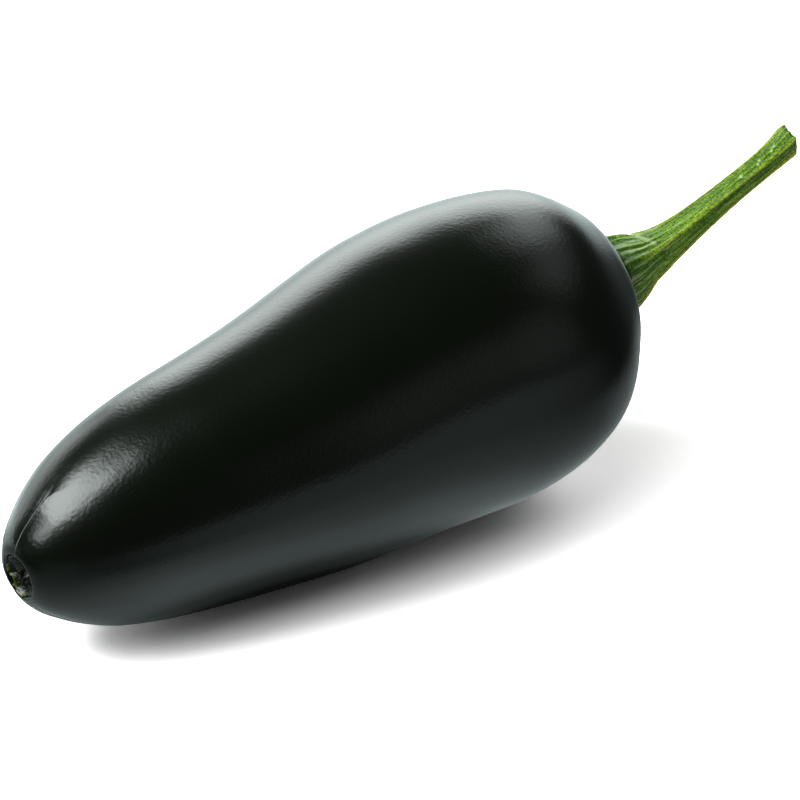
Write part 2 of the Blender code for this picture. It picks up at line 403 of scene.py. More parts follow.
# The lump and the folded skin beside it, with their places and half sizes across the dish
LUMP_PLACE = (0.0, 0.70 * MM, 1.25 * MM)
LUMP_SIZE = (1.0, 1.15 * MM, 0.90 * MM)
LUMP_HEIGHT = 0.62 * MM
FOLDS_PLACE = (0.0, 0.10 * MM, -0.40 * MM)
FOLDS_SIZE = (1.0, 1.10 * MM, 1.35 * MM)
FOLDS_FULL = 0.5
FOLDS_END = 1.1
SCAR_FOLD_HEIGHT = 0.62 * MM
SCAR_FOLD_LENGTH = 0.50 * MM
SCAR_FOLD_STRETCH = (1, 1, 0.5)
WRINKLE_HEIGHT = 0.11 * MM
WRINKLE_LENGTH = 0.24 * MM
WRINKLE_STRETCH = (1, 1, 1.6)
WRINKLE_SHIFT = 5 * MM
# The thin torn edge stands in the dish on one side, wanders and dips
TORN_EDGE_RADIUS = 2.25 * MM
TORN_EDGE_DIP = 0.55 * MM
TORN_EDGE_DIP_ANGLE = math.radians(-34)
TORN_EDGE_DIP_SPREAD = math.radians(13)
TORN_EDGE_WIDTH = 0.075 * MM
TORN_EDGE_TOP = 0.14 * MM
TORN_EDGE_ANGLE = math.radians(-45)
TORN_EDGE_HALF_ANGLE = math.radians(80)
# What ends at a half angle starts to fade at this share of it
FADE_SHARE = 0.6
TORN_EDGE_WANDER = 0.10 * MM
TORN_EDGE_WAVE = 0.7 * MM
# It is olive in patches of about this length, where a noise lies above these values
OLIVE_PATCH = 0.45 * MM
OLIVE_START = -0.3
OLIVE_FULL = 0.2

SCAR_ROUGHNESS = 0.28
SCAR_SHINE = 0.35
SCAR_GRAIN_SCALE = 9000.0
SCAR_GRAIN_HEIGHT = 0.02 * MM
SCAR_DARK = (0.0012, 0.0018, 0.0009, 1.0)
SCAR_OLIVE = (0.110, 0.150, 0.015, 1.0)


def ridges(places, length):
    """Sharp-crested noise between 0 and 1 at these places."""
    return 1 - np.abs(ripples(places, length)) * 2


scar_line = [(0.0, SCAR_RADIUS * k / SCAR_STEPS) for k in range(SCAR_STEPS + 1)]
scar_line += [(SCAR_BACK, SCAR_BACK_RADIUS), (SCAR_BACK, 0.0)]
scar = turned("crumpled_scar", scar_line, SCAR_SIDES)
x, radius, angle = round_places(scar)
flat = aside(radius, angle)
to_lump = np.linalg.norm((flat - LUMP_PLACE) / LUMP_SIZE, axis=1)
lump = LUMP_HEIGHT * np.sqrt(np.clip(1 - to_lump**2, 0, 1))
to_folds = np.linalg.norm((flat - FOLDS_PLACE) / FOLDS_SIZE, axis=1)
fold_crests = ridges(flat * SCAR_FOLD_STRETCH, SCAR_FOLD_LENGTH) ** 2
folds = SCAR_FOLD_HEIGHT * (1 - ease(FOLDS_FULL, FOLDS_END, to_folds)) * fold_crests
wrinkles = WRINKLE_HEIGHT * ridges(flat * WRINKLE_STRETCH + WRINKLE_SHIFT, WRINKLE_LENGTH)
raised = np.maximum(lump, folds) + wrinkles
dip = np.exp(-((turn_between(angle, TORN_EDGE_DIP_ANGLE) / TORN_EDGE_DIP_SPREAD) ** 2))
wander = TORN_EDGE_RADIUS - TORN_EDGE_DIP * dip + TORN_EDGE_WANDER * ripples(flat, TORN_EDGE_WAVE)
from_torn = np.abs(turn_between(angle, TORN_EDGE_ANGLE)) / TORN_EDGE_HALF_ANGLE
torn_share = 1 - ease(FADE_SHARE, 1.0, from_torn)
torn = torn_share * np.exp(-(((radius - wander) / TORN_EDGE_WIDTH) ** 2))
inner = 1 - ease(RELIEF_SHARE, 1.0, radius / SCAR_RADIUS)
bowl = np.interp(radius, *np.array(SCAR_BOWL).T)
pleated = ease(PLEATED_START, PLEATED_FULL, radius / SCAR_RADIUS)
rim_share = 1 + (swell(np.zeros_like(x), angle) - 1) * pleated
depth = bowl - raised * inner
depth += (np.minimum(TORN_EDGE_TOP, depth) - depth) * torn
depth = np.where(x > SCAR_BACK / 2, bowl + SCAR_BACK, depth)
set_places(scar, axis_place(depth) + flat * rim_share[:, None])
patches = ease(OLIVE_START, OLIVE_FULL, ripples(flat, OLIVE_PATCH))
tone = scar.data.attributes.new("tone", "FLOAT", "POINT")
tone.data.foreach_set("value", (torn * patches).astype(np.float32))
lay_down(scar)

dried, dried_shader = plain_finish("dried_scar", SCAR_ROUGHNESS, SCAR_SHINE)
tone_value = add_node(dried, "Attribute", {"attribute_name": "tone"})
dried_tone = mix_colours(dried, tone_value.outputs["Fac"], SCAR_DARK, SCAR_OLIVE)
link(dried, dried_tone, dried_shader.inputs["Base Color"])
dried_place = add_node(dried, "TexCoord")
dried_grain = add_node(dried, "TexNoise", Scale=SCAR_GRAIN_SCALE, Detail=2.0)
link(dried, dried_place.outputs["Object"], dried_grain.inputs["Vector"])
dried_bump = add_node(dried, "Bump", Strength=1.0, Distance=SCAR_GRAIN_HEIGHT)
link(dried, dried_grain.outputs["Fac"], dried_bump.inputs["Height"])
link(dried, dried_bump.outputs["Normal"], dried_shader.inputs["Normal"])
scar.data.materials.append(dried)
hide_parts("pod")
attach(scar, "root")

# The stem
# The stalk and the calyx that it grew with: a low saucer of matte green tissue with blunt points, which
# hugs the shoulder, flares up into a ribbed stalk and ends in a torn cut. Pale fibres show along the ribs.

SEAT_GAP = 0.34 * MM
CALYX_ASIDE = -0.45 * MM
CALYX_POINT_SHARE = 0.075
# Its flare is lower on its upper side
TRIM_DEPTH = 0.09
TRIM_ANGLE = math.radians(75)
TRIM_SPREAD = math.radians(35)
TRIM_START = 2.0 * MM
TRIM_END = 6.0 * MM

# From the middle of the underside to the rim, as (height over the shoulder, radius)
CALYX_OUTLINE = [
    (SEAT_GAP, 0.00 * MM),
    (SEAT_GAP, 2.20 * MM),
    (SEAT_GAP, 4.68 * MM),
    (0.44 * MM, 5.20 * MM),
    (0.70 * MM, 5.30 * MM),
    (0.99 * MM, 4.99 * MM),
]
# From the rim to the cut, as (distance from the shoulder, radius), and then into the dished cut
STALK_OUTLINE = [
    (2.1 * MM, 4.35 * MM),
    (3.2 * MM, 4.10 * MM),
    (4.7 * MM, 3.58 * MM),
    (6.2 * MM, 2.95 * MM),
    (6.6 * MM, 2.80 * MM),
    (7.1 * MM, 2.70 * MM),
    (9.5 * MM, 2.20 * MM),
    (12.8 * MM, 1.82 * MM),
    (16.8 * MM, 1.57 * MM),
    (20.8 * MM, 1.44 * MM),
    (24.3 * MM, 1.43 * MM),
    (26.2 * MM, 1.48 * MM),
    (27.7 * MM, 1.58 * MM),
    (28.7 * MM, 1.66 * MM),
    (28.98 * MM, 1.61 * MM),
]
CUT_OUTLINE = [
    (29.1 * MM, 1.48 * MM),
    (29.04 * MM, 1.10 * MM),
    (28.95 * MM, 0.67 * MM),
    (29.0 * MM, 0.0 * MM),
]
# Between the calyx's rim and the stalk's foot, one bends into the other
RIM_HEIGHT = CALYX_OUTLINE[-1][0]
STALK_FOOT = STALK_OUTLINE[0][0]
STALK_END = CUT_OUTLINE[0][0]
STEM_SIDES = 200
CUT_SLANT = math.radians(-18)
CUT_SLANT_START = 22 * MM
# Five ribs with flat sides between them, a groove beside each rib and a small rib along each side
RIB_COUNT = 5
RIB_TURN = 2 * math.pi / RIB_COUNT
RIB_ANGLE = math.radians(67)
RIB_TWIST = math.radians(6)
END_TWIST = math.radians(9)
END_TWIST_START = 20 * MM
RIB_SHARPNESS = 18
RIB_DEPTH = 0.85
SIDE_MEAN = 0.845
GROOVE_DEPTH = 0.050
GROOVE_OFF = math.radians(11)
GROOVE_WIDTH = math.radians(4.5)
SMALL_RIB_HEIGHT = 0.035
SMALL_RIB_OFF = math.radians(38)
SMALL_RIB_WIDTH = math.radians(5)
# Long strands and fine fibres, which are lower on the thin part of the stalk and on the calyx
STRAND_TURNS = 4.5
STRAND_LENGTH = 13 * MM
STRAND_DEPTH = 0.060
FIBRE_TURNS = 9.0
FIBRE_LENGTH = 10 * MM
FIBRE_DEPTH = 0.022
STRAND_MEAN = 0.7
THIN_START = 4 * MM
THIN_END = 16 * MM
THIN_LOSS = 0.6
CALYX_RIB_SHARE = 0.3
CALYX_GRAIN_SHARE = 0.5
GRAIN_LENGTH = 0.24 * MM
GRAIN_DEPTH = 0.030 * MM
# Grain and joint ring fade out towards the middle of the cut, between these radii
RELIEF_START = 0.5 * MM
RELIEF_FULL = 1.4 * MM
# The ring where the calyx's flare joins the stalk
JOINT_PLACE = 7.0 * MM
JOINT_SLANT = 1.1 * MM
JOINT_WIDTH = 0.20 * MM
JOINT_DEPTH = 0.13 * MM
# A raised lip and a pale line follow it, this many of its widths further on
JOINT_LIP_SHARE = 0.7
JOINT_LIP_OFF = 1.6
PALE_LINE_OFF = 1.0
JOINT_ANGLE = math.radians(88)
JOINT_HALF_ANGLE = math.radians(48)
# The cut is torn, so its edge lies a little back, unevenly round it
RAGGED_START = 27.6 * MM
RAGGED_DEPTH = 0.30 * MM
RAGGED_MEAN = 0.5
RAGGED_LEAST = 0.1 * MM
RAGGED_LENGTH = 0.9 * MM
RAGGED_RADIUS = 1.5 * MM
# The stalk bends up and a little aside, and bends up again near its end
STALK_RISE = math.radians(18)
STALK_SIDE_TURN = math.radians(-3)
STALK_BEND_START = 1.5 * MM
STALK_BEND_END = 15 * MM
END_RISE = math.radians(7.5)
END_RISE_START = 22 * MM
STALK_BEND_STEP = 0.25 * MM

DEEP_GREEN = (0.010, 0.030, 0.004, 1.0)
# The two ends of the rind's green. Their mix carries painted light on the rib crests and painted shade
# beside them
DARKER_RIND_GREEN = (0.056, 0.148, 0.009, 1.0)
PALER_RIND_GREEN = (0.205, 0.360, 0.010, 1.0)
LIGHT_STREAK = (0.370, 0.530, 0.055, 1.0)
PALE_FIBRE = (0.400, 0.480, 0.230, 1.0)
# Yellow of the painted light: the glowing edge along one side and the highlight on the crests
PAINTED_GLOW_YELLOW = (0.500, 0.520, 0.028, 1.0)
CUT_PITH = (0.200, 0.260, 0.080, 1.0)
# A pale yellow line along one side, painted light where the thin edge lets light through and glows
GLOW_EDGE_ANGLE = math.radians(217)
GLOW_EDGE_SPREAD = math.radians(10)
# The green between the darker and the paler rind green: painted light on the rib crests and the small ribs,
# painted shade just past each crest, darker at the cut and on the calyx, and changing with the strands and
# fibres
MEAN_SHADE = 0.55
CREST_PAINTED_LIGHT = 0.40
CREST_WIDTH = math.radians(8)
PAINTED_SHADE_DEPTH = 0.40
PAINTED_SHADE_OFF = math.radians(17)
PAINTED_SHADE_WIDTH = math.radians(10)
SMALL_RIB_PAINTED_LIGHT = 0.15
STRAND_SHADE = 0.9
MEAN_STRAND = 0.65
FIBRE_SHADE = 0.8
MEAN_FIBRE = 0.61
END_SHADE = 0.6
END_SHADE_START = 28.4 * MM
CALYX_SHADE = 0.6
CALYX_SHADE_START = 1 * MM
CALYX_SHADE_END = 7 * MM
# A yellow painted highlight on the crests too, away from the calyx
CREST_HIGHLIGHT = 0.30
CREST_HIGHLIGHT_START = 3 * MM
CREST_HIGHLIGHT_FULL = 9 * MM
# Shade where the calyx meets the shoulder
SEAT_SHADE = 0.55
SEAT_SHADE_START = 1.0 * MM
SEAT_SHADE_END = 5.0 * MM
# The highest fibres are pale, less so towards the cut, and so is one edge of the joint ring
PALE_START = 0.86
PALE_FULL = 0.98
PALE_SHARE = 0.55
PALE_LOSS = 0.3
PALE_LOSS_START = 7 * MM
PALE_LOSS_END = 20 * MM
PALE_RING = 0.7
# Pith shows inside the cut, and less of it past PITH_RADIUS
CUT_START = 28.7 * MM
CUT_RADIUS = 1.42 * MM
PITH_RADIUS = 0.9 * MM
PITH_END = 1.4 * MM
PITH_LOSS = 0.6

RIND_ROUGHNESS = 0.50
RIND_SHINE = 0.18
STREAK_SCALE = 4500.0
STREAK_STRETCH = 0.15
SPECK_SCALE = 5200.0
SPECK_HEIGHT = 0.05 * MM
# How much light streak and dark speck the two noises give
LIGHT_STREAKS = {"From_Min": 0.52, "From_Max": 0.75, "To_Min": 0.0, "To_Max": 0.6}
DARK_SPECKS = {"From_Min": 0.42, "From_Max": 0.56, "To_Min": 0.75, "To_Max": 0.0}
# Small pale spots near the cut, with an uneven edge, as (distance from the shoulder, angle, radius)
SPOT_FULL = 0.6
SPOT_END = 1.1
SPOT_EDGE_SHARE = 0.6
SPOT_EDGE_LENGTH = 0.15 * MM
SPOTS_OUTSIDE = 1.2 * MM
SPOTS = [
    (21.4 * MM, math.radians(119), 0.22 * MM),
    (23.8 * MM, math.radians(124), 0.16 * MM),
    (24.2 * MM, math.radians(117), 0.20 * MM),
    (25.9 * MM, math.radians(121), 0.18 * MM),
    (26.4 * MM, math.radians(112), 0.15 * MM),
]


def seat_height(radius):
    """How far from the blossom end the shoulder's skin is, at these distances from the axis."""
    line = smooth_line(POD_OUTLINE)
    shoulder = line[line[:, 0] > LOBES_FULL][::-1]
    order = np.argsort(shoulder[:, 1])
    return np.interp(radius, shoulder[order, 1], shoulder[order, 0])


def rib_phase(distance, angle):
    """The turn past the last rib, from 0 on its crest to RIB_TURN on the next crest."""
    twist = RIB_TWIST * distance / STALK_END + END_TWIST * ease(END_TWIST_START, STALK_END, distance)
    return (angle - RIB_ANGLE - twist) % RIB_TURN


def ribs(distance, angle):
    """How much the stalk's ribs stand out and its grooves sink in, as a share of its radius."""
    phase = rib_phase(distance, angle)
    sides = sum(np.clip(np.cos(phase - RIB_TURN * k / 2), 0, 1) ** RIB_SHARPNESS for k in (-1, 1, 3))
    flat_sided = math.cos(RIB_TURN / 2) * sides ** (-1 / RIB_SHARPNESS) / SIDE_MEAN - 1
    groove = GROOVE_DEPTH * np.exp(-(((phase - GROOVE_OFF) / GROOVE_WIDTH) ** 2))
    small_rib = SMALL_RIB_HEIGHT * np.exp(-(((phase - SMALL_RIB_OFF) / SMALL_RIB_WIDTH) ** 2))
    return RIB_DEPTH * flat_sided - groove + small_rib


def strands(distance, angle, turns, length):
    """Long ridges along the stalk, between 0 and 1: this many noise waves round its radius, this long."""
    places = np.column_stack([turns * np.cos(angle), turns * np.sin(angle), distance / length])
    return ridges(places, 1.0)


def stalk_place(distance, radius, angle):
    """Places on the bent stalk. Towards its end the rings slant, to match the slanting cut."""
    steps = np.arange(0.0, STALK_END + 2 * STALK_BEND_STEP, STALK_BEND_STEP)
    bend = ease(STALK_BEND_START, STALK_BEND_END, steps)
    rise = STALK_RISE * bend + END_RISE * ease(END_RISE_START, STALK_END, steps)
    turn = STALK_SIDE_TURN * bend
    forward = np.column_stack([np.cos(rise) * np.cos(turn), np.cos(rise) * np.sin(turn), np.sin(rise)])
    side = np.column_stack([-np.sin(turn), np.cos(turn), np.zeros_like(turn)])
    start = axis_place(seat_height(np.zeros(1))) + aside(CALYX_ASIDE, np.full(1, SWAY_ANGLE))
    centre = start + np.vstack([np.zeros((1, 3)), np.cumsum(forward[:-1] * STALK_BEND_STEP, axis=0)])
    upward = np.cross(forward, side)

    def at(rows):
        return np.column_stack([np.interp(distance, steps, row) for row in rows.T])

    slant = math.tan(CUT_SLANT) * ease(CUT_SLANT_START, STALK_END, distance)
    out = radius[:, None]
    across = at(side) * np.cos(angle)[:, None] + at(upward) * np.sin(angle)[:, None]
    return at(centre) + across * out - at(forward) * (slant * radius * np.sin(angle))[:, None]


def calyx_place(height, radius, angle):
    """Places on the calyx, at this height over the shoulder's skin."""
    pointed = radius * (1 + CALYX_POINT_SHARE * np.cos(RIB_COUNT * (angle - RIB_ANGLE)))
    out = aside(pointed, angle) + aside(CALYX_ASIDE, np.full_like(angle, SWAY_ANGLE))
    pod_radius = np.hypot(out[:, 1], out[:, 2])
    pod_angle = np.arctan2(out[:, 2], out[:, 1])
    return axis_place(seat_height(pod_radius / swell(LOBES_FULL, pod_angle)) + height) + out


stem = turned("ribbed_stem", smooth_line([*CALYX_OUTLINE, *STALK_OUTLINE, *CUT_OUTLINE]), STEM_SIDES)
x, radius, angle = round_places(stem)
trim = np.exp(-((turn_between(angle, TRIM_ANGLE) / TRIM_SPREAD) ** 2)) * (1 - ease(TRIM_START, TRIM_END, x))
radius *= 1 - TRIM_DEPTH * trim
on_stalk = ease(RIM_HEIGHT, STALK_FOOT, x)[:, None]
long_strands = strands(x, angle, STRAND_TURNS, STRAND_LENGTH)
fine_fibres = strands(x, angle, FIBRE_TURNS, FIBRE_LENGTH)
thin = 1 - THIN_LOSS * ease(THIN_START, THIN_END, x)
uneven = STRAND_DEPTH * (long_strands - STRAND_MEAN) + FIBRE_DEPTH * (fine_fibres - STRAND_MEAN)
share = 1 + ribs(x, angle) + uneven * thin
grain = GRAIN_DEPTH * ripples(vertex_places(stem), GRAIN_LENGTH)
joint_off = turn_between(angle, JOINT_ANGLE)
joint_line = (x - JOINT_PLACE - JOINT_SLANT * joint_off) / JOINT_WIDTH
joint_share = 1 - ease(FADE_SHARE, 1.0, np.abs(joint_off) / JOINT_HALF_ANGLE)
joint_lip = JOINT_LIP_SHARE * np.exp(-((joint_line - JOINT_LIP_OFF) ** 2))
joint = JOINT_DEPTH * joint_share * (joint_lip - np.exp(-(joint_line**2)))
ribbed = radius * share + (grain + joint) * ease(RELIEF_START, RELIEF_FULL, radius)
torn_round = ripples(aside(np.full_like(angle, RAGGED_RADIUS), angle), RAGGED_LENGTH)
ragged = np.clip(RAGGED_DEPTH * (RAGGED_MEAN + torn_round), RAGGED_LEAST, RAGGED_DEPTH)
along = x - ragged * ease(RAGGED_START, STALK_END, x)
calyx_radius = radius * (1 + CALYX_RIB_SHARE * (share - 1)) + CALYX_GRAIN_SHARE * grain
on_calyx = calyx_place(x, calyx_radius, angle)
set_places(stem, on_calyx * (1 - on_stalk) + stalk_place(along, ribbed, angle) * on_stalk)
lay_down(stem)

phase = rib_phase(x, angle)
crest = np.exp(-((np.minimum(phase, RIB_TURN - phase) / CREST_WIDTH) ** 2))
painted_shade = np.exp(-(((phase - PAINTED_SHADE_OFF) / PAINTED_SHADE_WIDTH) ** 2))
small_crest = np.exp(-(((phase - SMALL_RIB_OFF) / SMALL_RIB_WIDTH) ** 2))
# Painted light on the crests and the small ribs, and painted shade just past each crest
shade = MEAN_SHADE + CREST_PAINTED_LIGHT * crest - PAINTED_SHADE_DEPTH * painted_shade + SMALL_RIB_PAINTED_LIGHT * small_crest
shade += STRAND_SHADE * (long_strands - MEAN_STRAND) + FIBRE_SHADE * (fine_fibres - MEAN_FIBRE)
shade -= END_SHADE * ease(END_SHADE_START, STALK_END, x)
shade -= CALYX_SHADE * (1 - ease(CALYX_SHADE_START, CALYX_SHADE_END, x))
cut = ((x > CUT_START) & (radius < CUT_RADIUS)) * (1 - PITH_LOSS * ease(PITH_RADIUS, PITH_END, radius))
pale = ease(PALE_START, PALE_FULL, fine_fibres)
pale *= PALE_SHARE - PALE_LOSS * ease(PALE_LOSS_START, PALE_LOSS_END, x)
pale += PALE_RING * joint_share * np.exp(-((joint_line - PALE_LINE_OFF) ** 2))
uneven_edge = SPOT_EDGE_SHARE * ripples(vertex_places(stem), SPOT_EDGE_LENGTH)
for spot_distance, spot_angle, spot_radius in SPOTS:
    off_spot = np.hypot(x - spot_distance, radius * turn_between(angle, spot_angle)) / spot_radius
    pale += (1 - ease(SPOT_FULL, SPOT_END, off_spot + uneven_edge)) * (radius > SPOTS_OUTSIDE)
# Painted yellow light: a glowing edge along one side, and a highlight on the crests
painted_glow = np.exp(-((turn_between(angle, GLOW_EDGE_ANGLE) / GLOW_EDGE_SPREAD) ** 2))
painted_glow += CREST_HIGHLIGHT * crest * ease(CREST_HIGHLIGHT_START, CREST_HIGHLIGHT_FULL, x)
seat_shade = SEAT_SHADE * (1 - ease(SEAT_SHADE_START, SEAT_SHADE_END, x)) * (1 - pale)
tones = {"shade": shade, "pale": pale, "painted_glow": painted_glow, "cut": cut, "seat": seat_shade}
for name, values in tones.items():
    layer = stem.data.attributes.new(name, "FLOAT", "POINT")
    layer.data.foreach_set("value", np.clip(values, 0, 1).astype(np.float32))
fibres = np.column_stack([x * STREAK_STRETCH, radius * np.cos(angle), radius * np.sin(angle)])
fibre = stem.data.attributes.new("fibre", "FLOAT_VECTOR", "POINT")
fibre.data.foreach_set("vector", fibres.astype(np.float32).ravel())

rind, rind_shader = plain_finish("matte_green_rind", RIND_ROUGHNESS, RIND_SHINE)
layers = {name: add_node(rind, "Attribute", {"attribute_name": name}) for name in (*tones, "fibre")}
rind_place = add_node(rind, "TexCoord")
streaks = add_node(rind, "TexNoise", Scale=STREAK_SCALE, Detail=3.0)
link(rind, layers["fibre"].outputs["Vector"], streaks.inputs["Vector"])
specks = add_node(rind, "TexNoise", Scale=SPECK_SCALE, Detail=2.0)
link(rind, rind_place.outputs["Object"], specks.inputs["Vector"])
dark_specks = add_node(rind, "MapRange", **DARK_SPECKS)
link(rind, specks.outputs["Fac"], dark_specks.inputs["Value"])
light_streaks = add_node(rind, "MapRange", **LIGHT_STREAKS)
link(rind, streaks.outputs["Fac"], light_streaks.inputs["Value"])
# The mix by the shade layer paints light on the rib crests and shade beside them
green = mix_colours(rind, layers["shade"].outputs["Fac"], DARKER_RIND_GREEN, PALER_RIND_GREEN)
# Then the painted yellow light along the edge and on the crests
green = mix_colours(rind, layers["painted_glow"].outputs["Fac"], green, PAINTED_GLOW_YELLOW)
green = mix_colours(rind, light_streaks.outputs["Result"], green, LIGHT_STREAK)
green = mix_colours(rind, dark_specks.outputs["Result"], green, DEEP_GREEN)
green = mix_colours(rind, layers["seat"].outputs["Fac"], green, DEEP_GREEN)
green = mix_colours(rind, layers["pale"].outputs["Fac"], green, PALE_FIBRE)
green = mix_colours(rind, layers["cut"].outputs["Fac"], green, CUT_PITH)
link(rind, green, rind_shader.inputs["Base Color"])
rind_bump = add_node(rind, "Bump", Strength=1.0, Distance=SPECK_HEIGHT)
link(rind, specks.outputs["Fac"], rind_bump.inputs["Height"])
link(rind, rind_bump.outputs["Normal"], rind_shader.inputs["Normal"])
stem.data.materials.append(rind)
# As in the photograph, the skin shows no green mirror image of the stalk
stem.visible_glossy = False
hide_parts("stem")
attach(stem, "root")

# The table top
# A wide, matt white sheet under the pepper, which isn't part of the object. It is so bright that it shows
# pure white round a narrow, neutral shadow. What the glossy skin mirrors of it has a brightness of its own:
# dark in the pepper's shadow, bright close by and behind, and dim towards the dark room.

TABLE_SIZE = 6.0
PAPER_WHITE = (1.74, 1.60, 1.64, 1.0)
# The light that it throws back at the pepper
PAPER_LIGHT = (0.95, 0.95, 0.95, 1.0)
MIRRORED_TINT = (0.84, 1.0, 0.99)
# Brightness of the mirrored paper by distance from this centre, as a share of NEAR_REACH. The distance
# counts less along the pepper, because the pepper is long
MIRRORED_CENTRE = (-0.020, 0.0, 0.0)
MIRRORED_STRETCH = (1 / 1.8, 1.0, 1.0)
NEAR_REACH = 0.060
NEAR_PAPER = [
    (0.00, 0.00),
    (0.14, 0.01),
    (0.20, 0.12),
    (0.27, 0.60),
    (0.35, 0.76),
    (0.48, 0.58),
    (0.72, 0.62),
    (1.00, 0.60),
]
# How that brightness changes along the pepper, as a share of the way between these two places
ALONG_START, ALONG_END = -0.080, 0.060
ALONG_PAPER = [
    (0.00, 0.45),
    (0.15, 0.65),
    (0.30, 1.42),
    (0.50, 1.00),
    (0.62, 0.78),
    (0.76, 0.60),
    (0.90, 1.00),
    (1.00, 1.00),
]
# Between these distances, the nearby brightness gives way to the one further out
FAR_START = 0.030
FAR_END = 0.055
# The brightness further out, by the way that it lies: a share of a turn from -X by -Y and +X
FAR_PAPER = [
    (0.00, 0.05),
    (0.05, 0.20),
    (0.15, 0.12),
    (0.25, 0.40),
    (0.32, 0.40),
    (0.38, 0.22),
    (0.44, 0.03),
    (0.52, 0.06),
    (0.549, 0.12),
    (0.558, 0.75),
    (0.58, 1.35),
    (0.61, 1.50),
    (0.66, 1.40),
    (0.74, 0.95),
    (0.81, 2.20),
    (0.88, 0.60),
    (0.94, 0.00),
]


def brightness_ramp(material, factor, stops):
    """A ramp of greys through these (place, brightness) stops."""
    ramp = add_node(material, "ValToRGB")
    marks = ramp.color_ramp.elements
    while len(marks) < len(stops):
        marks.new(0.5)
    for mark, (place, brightness) in zip(marks, stops):
        mark.position = place
        mark.color = (brightness, brightness, brightness, 1.0)
    link(material, factor, ramp.inputs["Fac"])
    return ramp.outputs["Color"]


bpy.ops.object.select_all(action="DESELECT")
bpy.ops.mesh.primitive_plane_add(size=TABLE_SIZE)
table_top = bpy.context.object
table_top.name = "table_top"
paper = bpy.data.materials.new("white_paper")
paper.use_nodes = True
paper.node_tree.nodes.remove(paper.node_tree.nodes["Principled BSDF"])
sheet = add_node(paper, "BsdfDiffuse", Color=PAPER_WHITE)
paper_place = add_node(paper, "TexCoord")
centred = add_node(paper, "VectorMath", {"operation": "SUBTRACT"})
centred.inputs[1].default_value = MIRRORED_CENTRE
link(paper, paper_place.outputs["Object"], centred.inputs[0])
stretched = add_node(paper, "VectorMath", {"operation": "MULTIPLY"})
stretched.inputs[1].default_value = MIRRORED_STRETCH
link(paper, centred.outputs["Vector"], stretched.inputs[0])
distance = add_node(paper, "VectorMath", {"operation": "LENGTH"})
link(paper, stretched.outputs["Vector"], distance.inputs[0])
near_share = add_node(paper, "MapRange", From_Max=NEAR_REACH)
link(paper, distance.outputs["Value"], near_share.inputs["Value"])
far_share = add_node(paper, "MapRange", From_Min=FAR_START, From_Max=FAR_END)
link(paper, distance.outputs["Value"], far_share.inputs["Value"])
turned_round = add_node(paper, "TexGradient", {"gradient_type": "RADIAL"})
link(paper, centred.outputs["Vector"], turned_round.inputs["Vector"])
along_pod = add_node(paper, "SeparateXYZ")
link(paper, paper_place.outputs["Object"], along_pod.inputs["Vector"])
along_share = add_node(paper, "MapRange", From_Min=ALONG_START, From_Max=ALONG_END)
link(paper, along_pod.outputs["X"], along_share.inputs["Value"])
nearby = add_node(paper, "VectorMath", {"operation": "MULTIPLY"})
link(paper, brightness_ramp(paper, near_share.outputs["Result"], NEAR_PAPER), nearby.inputs[0])
link(paper, brightness_ramp(paper, along_share.outputs["Result"], ALONG_PAPER), nearby.inputs[1])
far = brightness_ramp(paper, turned_round.outputs["Fac"], FAR_PAPER)
mirrored = mix_colours(paper, far_share.outputs["Result"], nearby.outputs["Vector"], far)
tinted = add_node(paper, "VectorMath", {"operation": "MULTIPLY"})
tinted.inputs[1].default_value = MIRRORED_TINT
link(paper, mirrored, tinted.inputs[0])
rays = add_node(paper, "LightPath")
glow = add_node(paper, "Emission")
seen = mix_colours(paper, rays.outputs["Is Diffuse Ray"], tinted.outputs["Vector"], PAPER_LIGHT)
link(paper, seen, glow.inputs["Color"])
sides = add_node(paper, "MixShader")
link(paper, rays.outputs["Is Camera Ray"], sides.inputs["Fac"])
link(paper, glow.outputs["Emission"], sides.inputs[1])
link(paper, sheet.outputs["BSDF"], sides.inputs[2])
link(paper, sides.outputs["Shader"], paper.node_tree.nodes["Material Output"].inputs["Surface"])
table_top.data.materials.append(paper)

# The studio light
# A strong soft box over the blossom end, a low wall of light behind the pepper in two lengths, and weak
# boxes past the shoulder. The room on the camera's side is almost dark, so the near flank shows black. Two
# lamps are only ever mirrored and four never are, which sets the highlights and the shadow apart.

LAMP_DISTANCE = 1.2
LAMP_COLOUR = (0.91, 1.0, 0.97)
# Each lamp has a name, its azimuth, elevation, width and height in degrees, its radiance, and its fades
SOFT_FADES = (0.4, 0.4, 0.4, 0.4)
FILL_FADES = (0.3, 0.3, 0.3, 0.3)
MAIN_BOX = ("blossom_end_box", -121, 51, 56, 42, 11.7, (0.32, 0.22, 0.33, 0.37))
# The highlight on the blossom end is longer than that box. These two make its ends, and light nothing else
HIGHLIGHT_ENDS = [
    ("upper_end_box", -112, 71, 34, 22, 9.5, (0.55, 0.35, 0.45, 0.55)),
    ("lower_end_box", -104, 27, 26, 22, 6.5, (0.45, 0.45, 0.45, 0.45)),
]
OTHER_BOXES = [
    ("wall_behind_shoulder", 138, 16, 54, 56, 4.0, (0.40, 0.06, 0.55, 0.30)),
    ("wall_behind_blossom_end", -174, 8, 42, 40, 1.7, (0.1, 0.1, 0.1, 0.4)),
    ("shoulder_box", 111, 40, 32, 36, 1.8, SOFT_FADES),
    ("side_box", 80, 38, 40, 34, 0.4, SOFT_FADES),
    ("room_glow", 32, 22, 60, 50, 0.22, SOFT_FADES),
]
# These light the paper and the stem, and the skin doesn't mirror them
FILLS = [
    ("low_left_fill", -112, 20, 56, 40, 2.9, FILL_FADES),
    ("left_fill", -72, 47, 34, 34, 3.9, FILL_FADES),
    ("right_fill", 70, 44, 60, 40, 1.9, FILL_FADES),
    ("top_fill", -60, 78, 40, 24, 2.6, FILL_FADES),
]
